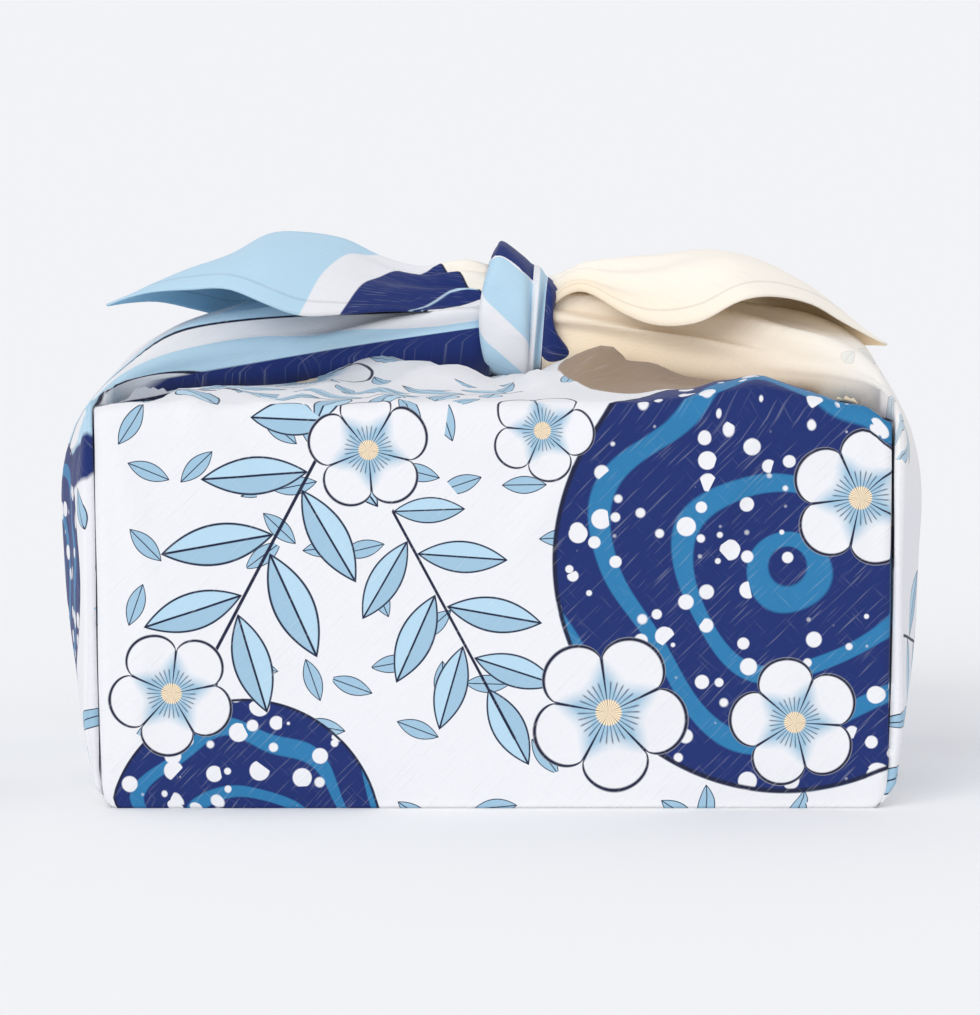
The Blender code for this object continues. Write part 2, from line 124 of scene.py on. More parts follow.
# How the length tapers to the foot, how the ends round under there, and how far the middle of each
# end draws in at the top
TOP_TAPER = 0.012
FOOT_RADIUS = 0.006
FOOT_TURN = 0.9
SHOULDER_DRAW = 0.008
SHOULDER_SINK = 0.010
SHOULDER_REACH = 0.045
# The body's top corners sink softly, the right ones more than the left ones
CORNER_REACH = 0.016
CORNER_TALL = 0.034
LEFT_CORNER_SINK = 0.0015
RIGHT_CORNER_SINK = 0.0070

# Soft swellings of the top layers: centre, half widths and height
SWELL_COLUMNS = ("x", "y", "wide", "deep", "high")
SWELLS = (
    (0.040, -0.030, 0.020, 0.045, 0.0100),
    (0.110, -0.115, 0.026, 0.030, 0.0080),
    (0.075, -0.080, 0.030, 0.040, 0.0030),
    (-0.045, -0.020, 0.040, 0.035, 0.0050),
    (-0.105, -0.085, 0.030, 0.030, 0.0030),
    (0.000, 0.060, 0.070, 0.040, 0.0040),
)

# The gathered end from the foot of the end panel to the knot. along is the share of KNOT_REACH;
# the crown columns are its middle line and the rim columns its two folded edges.
STRAND_COLUMNS = ("along", "crown_x", "crown_z", "rim_x", "rim_y", "rim_z")
LEFT_STRAND = (
    (0.00, 0.1640, 0.0006, 0.1640, 0.1320, 0.0006),
    (0.10, 0.1749, 0.0340, 0.1690, 0.1322, 0.0340),
    (0.22, 0.1826, 0.0740, 0.1690, 0.1322, 0.0740),
    (0.31, 0.1839, 0.1040, 0.1690, 0.1322, 0.1040),
    (0.40, 0.1816, 0.1340, 0.1690, 0.1322, 0.1340),
    (0.46, 0.1744, 0.1540, 0.1690, 0.1322, 0.1570),
    (0.50, 0.1650, 0.1660, 0.1670, 0.1300, 0.1690),
    (0.56, 0.1528, 0.1782, 0.1610, 0.1000, 0.1740),
    (0.63, 0.1365, 0.1890, 0.1480, 0.0720, 0.1752),
    (0.70, 0.1146, 0.1963, 0.1282, 0.0500, 0.1758),
    (0.79, 0.0865, 0.2015, 0.0969, 0.0340, 0.1778),
    (0.90, 0.0448, 0.2056, 0.0500, 0.0240, 0.1839),
    (1.00, 0.0021, 0.2088, 0.0021, 0.0170, 0.1900),
)
RIGHT_STRAND = (
    (0.00, 0.1640, 0.0006, 0.1640, 0.1320, 0.0006),
    (0.10, 0.1734, 0.0340, 0.1690, 0.1322, 0.0340),
    (0.22, 0.1795, 0.0740, 0.1690, 0.1322, 0.0740),
    (0.31, 0.1806, 0.1040, 0.1690, 0.1322, 0.1040),
    (0.40, 0.1792, 0.1340, 0.1690, 0.1322, 0.1340),
    (0.46, 0.1734, 0.1540, 0.1690, 0.1322, 0.1570),
    (0.50, 0.1650, 0.1680, 0.1670, 0.1300, 0.1690),
    (0.56, 0.1558, 0.1812, 0.1610, 0.1000, 0.1740),
    (0.63, 0.1386, 0.1911, 0.1490, 0.0740, 0.1752),
    (0.70, 0.1167, 0.1963, 0.1292, 0.0540, 0.1758),
    (0.79, 0.0907, 0.2004, 0.1000, 0.0380, 0.1768),
    (0.90, 0.0584, 0.2036, 0.0625, 0.0270, 0.1809),
    (1.00, 0.0208, 0.2067, 0.0208, 0.0180, 0.1880),
)
# Long pleats that run up the ends and along the gathered cloth, finer gathers between them, and the
# gathers of the cloth folded away under them
PLEATS = 3.5
PLEAT_HEIGHT = 0.0030
FINE_PLEATS = 4.5
FINE_HEIGHT = 0.0011
INNER_GATHERS = 5
# How far the cloth draws in under the gathered ends, near the knot
UNDER_GROOVE = 0.0065


def eased(share):
    """0 to 1 with level ends."""
    share = min(max(share, 0.0), 1.0)
    return share * share * (3 - 2 * share)


def mixed(first, second, share):
    return first + (second - first) * share


def read_table(columns, rows, key, at):
    """The row at this value of the key column, by a smooth curve through the table's rows."""
    place = columns.index(key)
    keys = [row[place] for row in rows]
    at = min(max(at, keys[0]), keys[-1])
    index = max(i for i in range(len(keys) - 1) if keys[i] <= at)
    span = keys[index + 1] - keys[index]
    share = (at - keys[index]) / span
    found = {}
    for column, name in enumerate(columns):
        values = [row[column] for row in rows]
        slopes = []
        for i in (index, index + 1):
            low, high = max(i - 1, 0), min(i + 1, len(keys) - 1)
            slopes.append((values[high] - values[low]) / (keys[high] - keys[low]) * span)
        start, end = values[index], values[index + 1]
        found[name] = (
            (2 * share**3 - 3 * share**2 + 1) * start
            + (share**3 - 2 * share**2 + share) * slopes[0]
            + (3 * share**2 - 2 * share**3) * end
            + (share**3 - share**2) * slopes[1]
        )
    return found


def along_corners(corners, radius, distance):
    """The point this far along a line through the corners, with each inner corner rounded."""
    left = distance
    for i in range(len(corners) - 1):
        start, end = Vector(corners[i]), Vector(corners[i + 1])
        length = (end - start).length
        last = i == len(corners) - 2
        if left <= length or last:
            point = start + (end - start) * (left / length)
            to_next, from_last = length - left, left
            if not last and to_next < radius:
                beyond = end + (Vector(corners[i + 2]) - end).normalized() * to_next
                return point.lerp(beyond, 0.5 * (1 - to_next / radius) ** 2)
            if i > 0 and from_last < radius:
                before = start + (Vector(corners[i - 1]) - start).normalized() * from_last
                return point.lerp(before, 0.5 * (1 - from_last / radius) ** 2)
            return point
        left -= length
    return Vector(corners[-1])


def body_section(v):
    """(y, z) of the cloth round the body's middle: the front flap outermost, the back one under it."""
    floor = CLOTH_THICKNESS / 2
    if v < 0:
        corners = (
            (0, floor),
            (-HALF_DEPTH, floor),
            (-HALF_DEPTH, BODY_HEIGHT),
            (HALF_DEPTH + LAYER_PITCH, BODY_HEIGHT),
            (HALF_DEPTH + LAYER_PITCH, floor),
        )
    else:
        corners = (
            (0, floor),
            (HALF_DEPTH, floor),
            (HALF_DEPTH, BODY_HEIGHT - LAYER_PITCH),
            (-HALF_DEPTH + LAYER_PITCH, BODY_HEIGHT - LAYER_PITCH),
            (-HALF_DEPTH + LAYER_PITCH, floor),
        )
    distance = abs(v)
    over = distance - (HALF_DEPTH + BODY_HEIGHT + BODY_DEPTH)
    if over > 0:
        distance -= over * (1 - FLAP_SLACK)
    return along_corners(corners, EDGE_RADIUS, distance)


def swelling(x, y):
    """How far the top layers stand up here."""
    total = 0.0
    for row in SWELLS:
        swell = dict(zip(SWELL_COLUMNS, row))
        across = (x - swell["x"]) / swell["wide"]
        deep = (y - swell["y"]) / swell["deep"]
        total += swell["high"] * math.exp(-across * across - deep * deep)
    return total


def settled(x, y, z):
    """The body's own softness: tapered to the foot and rounded under, sunk and drawn in at its top
    corners and ends, and swollen on top."""
    top = eased((z - 0.6 * BODY_HEIGHT) / (0.4 * BODY_HEIGHT))
    middle = max(0.0, 1 - (y / HALF_DEPTH) ** 2)
    edge = eased(1 - (HALF_LENGTH - min(abs(x), HALF_LENGTH)) / SHOULDER_REACH)
    near_top = eased((z - (BODY_HEIGHT - 0.012)) / 0.010)
    corner = eased(1 - (HALF_LENGTH - min(abs(x), HALF_LENGTH)) / CORNER_REACH) ** 2
    corner *= eased((z - (BODY_HEIGHT - CORNER_TALL)) / CORNER_TALL)
    corner *= LEFT_CORNER_SINK if x < 0 else RIGHT_CORNER_SINK
    level = z + near_top * swelling(x, y) * (1 - edge) - top * middle * edge * SHOULDER_SINK - corner
    under = min(max(1 - z / FOOT_RADIUS, 0), 1) * abs(x) / HALF_LENGTH
    tucked = FOOT_RADIUS * (1 - math.sqrt(1 - FOOT_TURN * under * under))
    drawn = math.copysign(abs(x) - top * middle * edge * SHOULDER_DRAW - tucked, x)
    return Vector((drawn * (1 + TOP_TAPER * (z / BODY_HEIGHT - 0.5)), y, level))


def strand_table(side):
    return LEFT_STRAND if side < 0 else RIGHT_STRAND


def top_room(side, x, y):
    """The lowest height of the gathered cloth over the body's top, at this distance out along X."""
    edge = abs(settled(side * HALF_LENGTH, y, BODY_HEIGHT).x)
    room = mixed(EDGE_ROOM, TOP_ROOM, eased((edge - x) / (2 * FOLD_ROOM)))
    return settled(side * x, y, BODY_HEIGHT).z + room


def kept_clear(side, point):
    """Pushes a point of the gathered cloth out of the body, by less and less towards the foot."""
    corner = settled(side * HALF_LENGTH, point.y, BODY_HEIGHT)
    edge = abs(corner.x)
    x = abs(point.x)
    if x > edge and point.z > corner.z:
        out = Vector((x - edge, point.z - corner.z))
        if out.length < EDGE_ROOM:
            out = out.normalized() * EDGE_ROOM
        return Vector((side * (edge + out.x), point.y, corner.z + out.y))
    if x > edge or point.z < BODY_HEIGHT / 2:
        wall = abs(settled(side * HALF_LENGTH, point.y, point.z).x)
        room = EDGE_ROOM * eased(point.z / FOLD_ROOM)
        return Vector((side * max(x, wall + room), point.y, point.z))
    return Vector((point.x, point.y, max(point.z, top_room(side, x, point.y))))


def panel_point(side, reach, across):
    """A point of the end panel and of the gathered cloth that it becomes. across is -1 at the front
    rim, 0 on the crown and 1 at the back rim."""
    row = read_table(STRAND_COLUMNS, strand_table(side), "along", reach / KNOT_REACH)
    rise = (1 - abs(across) ** 2.4) ** 0.7
    gathered = eased((reach - 0.02) / 0.16)
    pleat = PLEAT_HEIGHT * gathered * math.cos(2 * math.pi * PLEATS * across / 2 + 0.6 * side)
    pleat += FINE_HEIGHT * gathered * math.cos(2 * math.pi * FINE_PLEATS * across + 1.3 * side)
    pleat *= 1 - abs(across) ** 3
    over = eased((reach - 0.13) / 0.06)
    x = mixed(row["rim_x"], row["crown_x"], rise) + pleat * (1 - over)
    z = mixed(row["rim_z"], row["crown_z"], rise) + pleat * over
    point = Vector((side * x, row["rim_y"] * across, z))
    return kept_clear(side, point)


def tuck_depth(reach, deepest):
    """How far below the body's top edge a row of the tucked gusset hangs."""
    if reach < TUCK_TURN:
        return deepest * math.sin(math.pi / 2 * reach / TUCK_TURN)
    share = min((reach - TUCK_TURN) / (BODY_HEIGHT - TUCK_TURN), 1.0)
    return deepest * math.cos(math.pi / 2 * share)


def crest_place(reach):
    """How far past the panel's rim the gusset folds back."""
    return math.hypot(reach, CREST_START)


def inner_tuck(side, front, reach, past):
    """The gusset beside the body: in behind the end panel, back at its crest to the body's upright
    edge, and then along the body's top edge."""
    depth = tuck_depth(reach, FRONT_TUCK if front else BACK_TUCK)
    top = BODY_HEIGHT - (0 if front else LAYER_PITCH)
    crest = crest_place(reach)
    hem_end = mixed(FREE_LENGTH, HALF_DEPTH - HEM_GAP, reach / TUCK_TURN)
    level = 2 if front else 1
    if past < crest:
        inward = depth * past / crest
        height = mixed(reach, crest, past / crest)
        level = 3
    elif past <= BODY_HEIGHT:
        inward = depth
        height = mixed(crest, top - depth, (past - crest) / (BODY_HEIGHT - crest))
    else:
        free = HALF_DIAGONAL - HALF_LENGTH - HALF_DEPTH - reach
        share = (past - BODY_HEIGHT) / (free - BODY_HEIGHT)
        inward = mixed(depth, max(hem_end, depth), share)
        height = top - depth
    grown = eased(min(depth, max(height, 0.0)) / FOLD_ROOM)
    point = settled(side * HALF_LENGTH, -HALF_DEPTH + inward, height)
    point.x += side * level * LAYER_PITCH * grown
    if not front:
        point.y = -point.y
    return point


def outer_tuck(side, front, reach, past):
    """The gusset's outer layer, which comes up behind the end panel and under the gathered cloth."""
    facing = -1 if front else 1
    rim = panel_point(side, reach, facing)
    free = HALF_DIAGONAL - HALF_LENGTH - HALF_DEPTH - reach
    share = min(past / free, 1.0)
    y = mixed(abs(rim.y), HEM_GAP, share)
    under = min(share / 0.25, 1)
    y -= UNDER_GROOVE * 4 * under * (1 - under) * eased((reach - BODY_HEIGHT - 0.04) / 0.08)
    lift = reach - BODY_HEIGHT
    if lift < 0:
        hem_lift = -tuck_depth(reach, FRONT_TUCK if front else BACK_TUCK)
        lift = mixed(lift, hem_lift, 1 - (1 - share) ** 3)
        point = settled(side * HALF_LENGTH, -y, BODY_HEIGHT + lift)
        point.x += side * (EDGE_ROOM - LAYER_PITCH)
    else:
        corner = settled(side * HALF_LENGTH, -y, BODY_HEIGHT)
        turn = math.pi / 2 * min(lift / FOLD_ROOM, 1)
        arc = Vector((math.cos(turn), 0, math.sin(turn))) * (EDGE_ROOM - LAYER_PITCH)
        over = panel_point(side, reach, facing * y / abs(rim.y))
        inward = eased((lift - FOLD_ROOM) / (2 * FOLD_ROOM))
        x = mixed(abs(corner.x), min(abs(over.x), abs(corner.x)), inward) + arc.x
        low = top_room(side, x, y) - LAYER_PITCH
        spare = max(over.z - top_room(side, abs(over.x), y), 0)
        gather = 0.5 - 0.5 * math.cos(2 * math.pi * INNER_GATHERS * share)
        z = corner.z + arc.z if lift < FOLD_ROOM else low
        room = spare + top_room(side, x, y) - low - LAYER_PITCH
        point = Vector((side * x, 0, z + inward * gather * room))
    point.y = facing * y
    return point


def wrapped_point(u, v):
    """Where the flat cloth's point (u, v) lies in the wrap, out to the knot."""
    side = -1 if u < 0 else 1
    reach = abs(u) - HALF_LENGTH
    past = abs(v) - HALF_DEPTH
    y, z = body_section(v)
    if reach <= 0:
        return settled(u, y, z)
    if past <= 0:
        point = panel_point(side, reach, v / HALF_DEPTH)
    elif reach <= TUCK_TURN:
        point = inner_tuck(side, v < 0, reach, past)
    else:
        point = outer_tuck(side, v < 0, reach, past)
    if reach < FOLD_ROOM:
        point = settled(side * HALF_LENGTH, y, z).lerp(point, eased(reach / FOLD_ROOM))
    return point


def breakpoints(stops, counts):
    """Values from the first stop to the last, each stretch split into its own count."""
    values = [stops[0]]
    for start, end, count in zip(stops, stops[1:], counts):
        values += [mixed(start, end, (i + 1) / count) for i in range(count)]
    return values


def column_places(reach):
    """Distances from the cloth's middle line at which a fine row has its points, out to the hem."""
    free = HALF_DIAGONAL - HALF_LENGTH - HALF_DEPTH - max(reach, -HALF_LENGTH)
    bend, fold = EDGE_RADIUS, CREST_HALF
    panel = breakpoints((0, 0.8 * HALF_DEPTH, 0.97 * HALF_DEPTH, HALF_DEPTH), (16, 7, 3))
    if reach > TUCK_TURN:
        places = breakpoints((FIRST_PAST, 0.08 * free, 0.38 * free, 0.56 * free, free), (8, 18, 12, 26))
    else:
        crest = crest_place(max(reach, 0))
        rear = min(BODY_HEIGHT + BODY_DEPTH, mixed(BODY_HEIGHT, free, REAR_SHARE))
        places = breakpoints((FIRST_PAST, crest - fold, crest + fold, BODY_HEIGHT - bend), (3, 1, 24))
        top = breakpoints((BODY_HEIGHT - bend, BODY_HEIGHT + bend, rear - bend, rear, free), (5, 22, 2, 7))
        places += top[1:]
    return panel + [HALF_DEPTH + place for place in places]


def sheet_rows():
    """Rows of the flat cloth's points (u, v), from the right end's knot to the left one's."""
    turn = CREST_HALF
    out = breakpoints(
        (0.001, 0.030, TUCK_TURN - turn, TUCK_TURN + turn, BODY_HEIGHT - turn, BODY_HEIGHT + turn)
        + (BODY_HEIGHT + 2 * FOLD_ROOM, KNOT_REACH),
        (6, 8, 1, 12, 1, 10, 30),
    )
    flat = breakpoints((-HALF_LENGTH, -0.93 * HALF_LENGTH, 0.93 * HALF_LENGTH, HALF_LENGTH), (4, 76, 4))
    places = [-HALF_LENGTH - reach for reach in reversed(out)] + flat
    places += [HALF_LENGTH + reach for reach in out]
    rows = []
    for u in reversed(places):
        half = column_places(abs(u) - HALF_LENGTH)
        rows.append([(u, v) for v in [-v for v in reversed(half)] + half[1:]])
    return rows


# Creases that the cloth keeps: place and direction on the flat cloth, half length, half width and
# height, upwards for a ridge and downwards for a trough
CREASE_COLUMNS = ("u", "v", "turn", "long", "wide", "high")
CREASES = (
    (-0.095, -0.262, 52, 0.040, 0.0050, 0.0018),
    (-0.088, -0.256, 54, 0.034, 0.0040, -0.0014),
    (-0.060, -0.240, 60, 0.030, 0.0045, 0.0012),
    (-0.120, -0.215, 40, 0.035, 0.0060, 0.0014),
    (-0.150, -0.255, 78, 0.040, 0.0040, 0.0012),
    (-0.148, -0.185, 98, 0.030, 0.0040, 0.0011),
    (0.030, -0.270, 125, 0.035, 0.0060, 0.0014),
    (0.095, -0.255, 110, 0.035, 0.0050, 0.0014),
    (0.104, -0.250, 106, 0.030, 0.0040, -0.0012),
    (0.120, -0.200, 70, 0.040, 0.0060, 0.0013),
    (0.148, -0.240, 95, 0.045, 0.0045, 0.0014),
    (-0.020, -0.190, 35, 0.045, 0.0070, 0.0010),
    (0.060, -0.170, 140, 0.035, 0.0060, 0.0010),
    (-0.020, -0.285, 8, 0.050, 0.0055, 0.0010),
    (0.060, -0.292, 172, 0.040, 0.0050, 0.0013),
    (0.118, -0.286, 12, 0.026, 0.0050, 0.0016),
    (-0.130, -0.330, 80, 0.045, 0.0060, 0.0018),
    (-0.105, -0.322, 60, 0.030, 0.0050, 0.0016),
    (-0.075, -0.345, 100, 0.050, 0.0070, 0.0022),
    (-0.045, -0.325, 78, 0.030, 0.0050, 0.0016),
    (0.070, -0.335, 85, 0.040, 0.0080, 0.0014),
    (0.092, -0.318, 100, 0.028, 0.0060, 0.0009),
    (0.110, -0.325, 95, 0.035, 0.0070, 0.0012),
    (0.132, -0.322, 76, 0.030, 0.0060, 0.0010),
    (0.015, -0.380, 75, 0.060, 0.0070, 0.0026),
    (0.050, -0.395, 110, 0.050, 0.0060, 0.0026),
    (-0.030, -0.390, 115, 0.050, 0.0060, 0.0022),
    (-0.035, -0.398, 30, 0.030, 0.0080, 0.0040),
    (-0.018, -0.384, 150, 0.026, 0.0070, 0.0036),
    (-0.052, -0.410, 8, 0.024, 0.0080, 0.0034),
    (0.048, -0.386, 24, 0.030, 0.0080, 0.0046),
    (0.030, -0.372, 158, 0.026, 0.0070, 0.0036),
    (0.074, -0.376, 170, 0.034, 0.0080, 0.0030),
    (0.460, -0.076, 14, 0.060, 0.0075, 0.0050),
    (0.465, -0.058, 12, 0.060, 0.0060, -0.0045),
    (0.475, -0.092, 11, 0.055, 0.0060, -0.0045),
    (0.470, -0.108, 10, 0.055, 0.0070, 0.0045),
    (0.500, -0.035, 16, 0.040, 0.0070, 0.0040),
    (-0.415, -0.070, -10, 0.050, 0.0075, 0.0045),
    (-0.420, -0.052, -9, 0.050, 0.0060, -0.0045),
    (-0.490, -0.090, -13, 0.040, 0.0060, -0.0045),
    (-0.490, -0.106, -14, 0.040, 0.0070, 0.0050),
    (0.000, 0.230, 60, 0.050, 0.0070, 0.0012),
    (0.090, 0.200, 120, 0.045, 0.0060, 0.0012),
    (-0.100, 0.250, 110, 0.045, 0.0060, 0.0012),
)
# What the creases' heights are multiplied by, and the height of the small unevenness between them
CREASE_SHARE = 1.35
UNEVEN = 0.0014
# Ridges along the gathered cloth: how close they run, their height, and where they grow and fade
RIDGES = 4.6
RIDGE_HEIGHT = 0.0030
RIDGE_START = 0.08
RIDGE_GROWTH = 0.10
RIDGE_END = 0.25
RIDGE_FADE = 0.05
# What the layers folded away keep of this relief, and the width over which they lose the rest
HIDDEN_SHARE = 0.04
BLEND = 0.020
# Half the width of the front corner's tail where it turns down at the back
TAIL_HALF = HALF_DIAGONAL - 3 * HALF_DEPTH - BODY_HEIGHT


def outward_share(u, v):
    """1 where the cloth is outermost, and little on the base and in the layers folded away."""
    reach, past = abs(u) - HALF_LENGTH, abs(v) - HALF_DEPTH
    share = eased(max(reach, past) / BLEND)
    share *= 1 - eased(min(reach, past) / BLEND)
    if v > 0:
        below_top = max(BODY_HEIGHT - past, 0)
        share *= 1 - eased((TAIL_HALF - below_top - abs(u)) / BLEND + 1)
        share *= 1 - eased((past - BODY_HEIGHT) / BLEND + 1)
    return share


def long_ridges(u, v):
    """Soft ridges that run along the gathered cloth."""
    reach = abs(u) - HALF_LENGTH
    along = eased((reach - RIDGE_START) / RIDGE_GROWTH) * (1 - eased((reach - RIDGE_END) / RIDGE_FADE))
    if along == 0 or abs(v) > HALF_DEPTH:
        return 0.0
    wander = noise.noise(Vector((u * 9, v * 5, 8.1)))
    round_turn = math.asin(v / HALF_DEPTH)
    wave = abs(math.cos(RIDGES * round_turn + 1.6 * wander + 0.4))
    return RIDGE_HEIGHT * along * wave * (1 - (v / HALF_DEPTH) ** 12)


def relief(u, v):
    """How far the cloth's own creases and unevenness lift it here, outwards only."""
    total = UNEVEN * (0.5 + noise.noise(Vector((u * 18, v * 18, 3.7)))) + long_ridges(u, v)
    for row in CREASES:
        crease = dict(zip(CREASE_COLUMNS, row))
        turn = math.radians(crease["turn"])
        du, dv = u - crease["u"], v - crease["v"]
        along = (du * math.cos(turn) + dv * math.sin(turn)) / crease["long"]
        across = (dv * math.cos(turn) - du * math.sin(turn)) / crease["wide"]
        if abs(along) < 2 and abs(across) < 3:
            total += CREASE_SHARE * crease["high"] * math.exp(-across * across - along**4)
    return max(total, 0) * mixed(HIDDEN_SHARE, 1, outward_share(u, v))


def laid_sheet(form, rows, place, flat_spot, print_spot, lifted):
    """Adds a grid to the form, with each point at its place, its spot on the flat cloth and its spot
    in the print as its UVs, and the cloth's relief along its normal."""
    grid = bmesh.new()
    flat = grid.loops.layers.uv.new("cloth")
    picture = grid.loops.layers.uv.new("print")
    made = bmesh.ops.create_grid(grid, x_segments=len(rows[0]) - 1, y_segments=len(rows) - 1, size=1)
    steps = [step for row in rows for step in row]
    spots = [flat_spot(*step) for step in steps]
    print_spots = [print_spot(*step) for step in steps]
    for vert, step in zip(made["verts"], steps):
        vert.co = place(*step)
    grid.verts.index_update()
    for face in grid.faces:
        for loop in face.loops:
            loop[flat].uv = spots[loop.vert.index]
            loop[picture].uv = print_spots[loop.vert.index]
    bmesh.ops.reverse_faces(grid, faces=grid.faces)
    grid.normal_update()
    if lifted:
        for vert, spot in zip(grid.verts, spots):
            vert.co += vert.normal * relief(*spot)
    piece = bpy.data.meshes.new("laid sheet")
    grid.to_mesh(piece)
    grid.free()
    form.from_mesh(piece)
    bpy.data.meshes.remove(piece)


wrap_form = bmesh.new()
laid_sheet(wrap_form, sheet_rows(), wrapped_point, lambda u, v: (u, v), lambda u, v: (u, v), True)

# The free corners of the cloth, past the knot. Each is a triangle of single cloth, folded softly along
# its middle like a low roof, gathered where it leaves the knot and hemmed along its two open sides.

# reach is the distance out from the middle along X; the ridge is the fold along the middle of the
# corner, near its front hem and far its back hem
EAR_COLUMNS = ("reach", "ridge_y", "ridge_z", "near_y", "near_z", "far_y", "far_z")
LEFT_EAR = (
    (0.0010, 0.000, 0.2202, -0.0140, 0.2043, 0.0120, 0.2111),
    (0.0167, 0.001, 0.2203, -0.0170, 0.2042, 0.0160, 0.2102),
    (0.0302, 0.002, 0.2187, -0.0240, 0.2030, 0.0220, 0.2082),
    (0.0500, 0.003, 0.2245, -0.0360, 0.2023, 0.0300, 0.2063),
    (0.0667, 0.004, 0.2323, -0.0470, 0.2020, 0.0380, 0.2049),
    (0.0834, 0.004, 0.2349, -0.0550, 0.2029, 0.0440, 0.2024),
    (0.0990, 0.003, 0.2338, -0.0550, 0.2076, 0.0470, 0.1983),
    (0.1146, 0.002, 0.2255, -0.0470, 0.2124, 0.0440, 0.1956),
    (0.1313, 0.001, 0.2192, -0.0350, 0.2122, 0.0340, 0.1996),
    (0.1469, 0.000, 0.2129, -0.0200, 0.2104, 0.0200, 0.2040),
    (0.1584, 0.000, 0.2072, -0.0100, 0.2075, 0.0100, 0.2043),
    (0.1688, 0.000, 0.2036, -0.0020, 0.2035, 0.0020, 0.2031),
)
RIGHT_EAR = (
    (0.0208, 0.000, 0.2140, -0.0140, 0.2001, 0.0120, 0.2049),
    (0.0302, 0.000, 0.2155, -0.0190, 0.2094, 0.0150, 0.2049),
    (0.0396, 0.001, 0.2203, -0.0240, 0.2109, 0.0200, 0.2050),
    (0.0552, 0.002, 0.2229, -0.0340, 0.2028, 0.0280, 0.2052),
    (0.0709, 0.003, 0.2250, -0.0460, 0.1979, 0.0360, 0.2054),
    (0.0875, 0.004, 0.2276, -0.0560, 0.1998, 0.0430, 0.2029),
    (0.1042, 0.004, 0.2260, -0.0580, 0.2080, 0.0470, 0.1968),
    (0.1198, 0.003, 0.2213, -0.0480, 0.2093, 0.0450, 0.1915),
    (0.1365, 0.002, 0.2109, -0.0340, 0.2060, 0.0360, 0.1866),
    (0.1511, 0.000, 0.2010, -0.0200, 0.1974, 0.0220, 0.1827),
    (0.1626, 0.000, 0.1916, -0.0090, 0.1909, 0.0100, 0.1855),
    (0.1714, 0.000, 0.1864, -0.0020, 0.1863, 0.0020, 0.1859),
)
# How full the cloth stands between ridge and hem, as a share of the width there
EAR_SWELL = 0.10
# Gathers that fan out from the knot and fade, and a small unevenness that ends before the tip
GATHERS = 5
GATHER_HEIGHT = 0.0032
GATHER_START = 0.010
GATHER_FADE = 0.032
EAR_UNEVEN = 0.0018
EAR_TIP = 0.045


def ear_point(side, rows, reach, across):
    """A point of a free corner. across is -1 at the near hem, 0 on the ridge and 1 at the far hem."""
    row = read_table(EAR_COLUMNS, rows, "reach", reach)
    name = "near" if across < 0 else "far"
    share = abs(across)
    y = mixed(row["ridge_y"], row[name + "_y"], share)
    z = mixed(row["ridge_z"], row[name + "_z"], share)
    width = abs(row[name + "_y"] - row["ridge_y"])
    z += EAR_SWELL * width * math.sin(math.pi * share)
    return Vector((side * reach, y, z))


for side, rows in ((-1, LEFT_EAR), (1, RIGHT_EAR)):
    start, end = rows[0][0], rows[-1][0]
    reaches = breakpoints((start, end), (48,))
    shares = breakpoints((-1, 0, 1), (20, 20))
    steps = [[(reach, share) for share in shares] for reach in reaches]
    if side < 0:
        steps.reverse()

    def corner_spot(reach, share):
        from_tip = end - reach
        return side * (HALF_DIAGONAL - from_tip), share * from_tip

    def corner_place(reach, share):
        point = ear_point(side, rows, reach, share)
        fading = math.exp(-(reach - start) / GATHER_FADE) * min((reach - start) / GATHER_START, 1)
        point.z += GATHER_HEIGHT * fading * math.cos(GATHERS * math.pi * share + side)
        to_tip = min((end - reach) / EAR_TIP, 1)
        point.z += EAR_UNEVEN * to_tip * noise.noise(Vector((reach * 30, share * 2.2, side * 5)))
        return point

    laid_sheet(wrap_form, steps, corner_place, corner_spot, corner_spot, False)

# The knot: the left end's cloth passed over and round the right one's, as flat bands side by side that
# come down in front. The right-hand band flares at its foot. foot_x, waist_x and top_x are a section's
# places along X at its foot, half way up and at its top.
KNOT_COLUMNS = ("foot_x", "waist_x", "top_x", "front", "back", "foot", "top")
KNOT = (
    (-0.0005, -0.0035, 0.0020, -0.0110, 0.0110, 0.1860, 0.2150),
    (-0.0026, -0.0060, 0.0005, -0.0200, 0.0188, 0.1775, 0.2255),
    (-0.0012, -0.0047, 0.0018, -0.0250, 0.0230, 0.1742, 0.2292),
    (0.0060, 0.0030, 0.0042, -0.0264, 0.0250, 0.1722, 0.2310),
    (0.0130, 0.0132, 0.0125, -0.0266, 0.0245, 0.1720, 0.2248),
    (0.0146, 0.0154, 0.0165, -0.0222, 0.0225, 0.1730, 0.2212),
    (0.0165, 0.0180, 0.0199, -0.0252, 0.0235, 0.1740, 0.2200),
    (0.0186, 0.0208, 0.0226, -0.0214, 0.0215, 0.1755, 0.2162),
    (0.0260, 0.0240, 0.0250, -0.0256, 0.0225, 0.1758, 0.2145),
    (0.0400, 0.0264, 0.0283, -0.0238, 0.0200, 0.1775, 0.2105),
    (0.0390, 0.0260, 0.0275, -0.0150, 0.0130, 0.1830, 0.2040),
)
KNOT_UNEVEN = 0.0016
# The knot's colours lie in the print's left corner, at this v and in stripes of this slant. Each band
# past the first starts at a row of the table, and is plain: along says where its colour lies.
KNOT_PRINT_V = -0.055
STRIPE_SLANT = 0.388
BAND_COLUMNS = ("row", "along")
PLAIN_BANDS = (
    (7.2, 0.158),
    (6.1, 0.100),
    (5.2, 0.130),
)
DARK_ALONG = 0.158
STRIPE_ALONG = 0.142


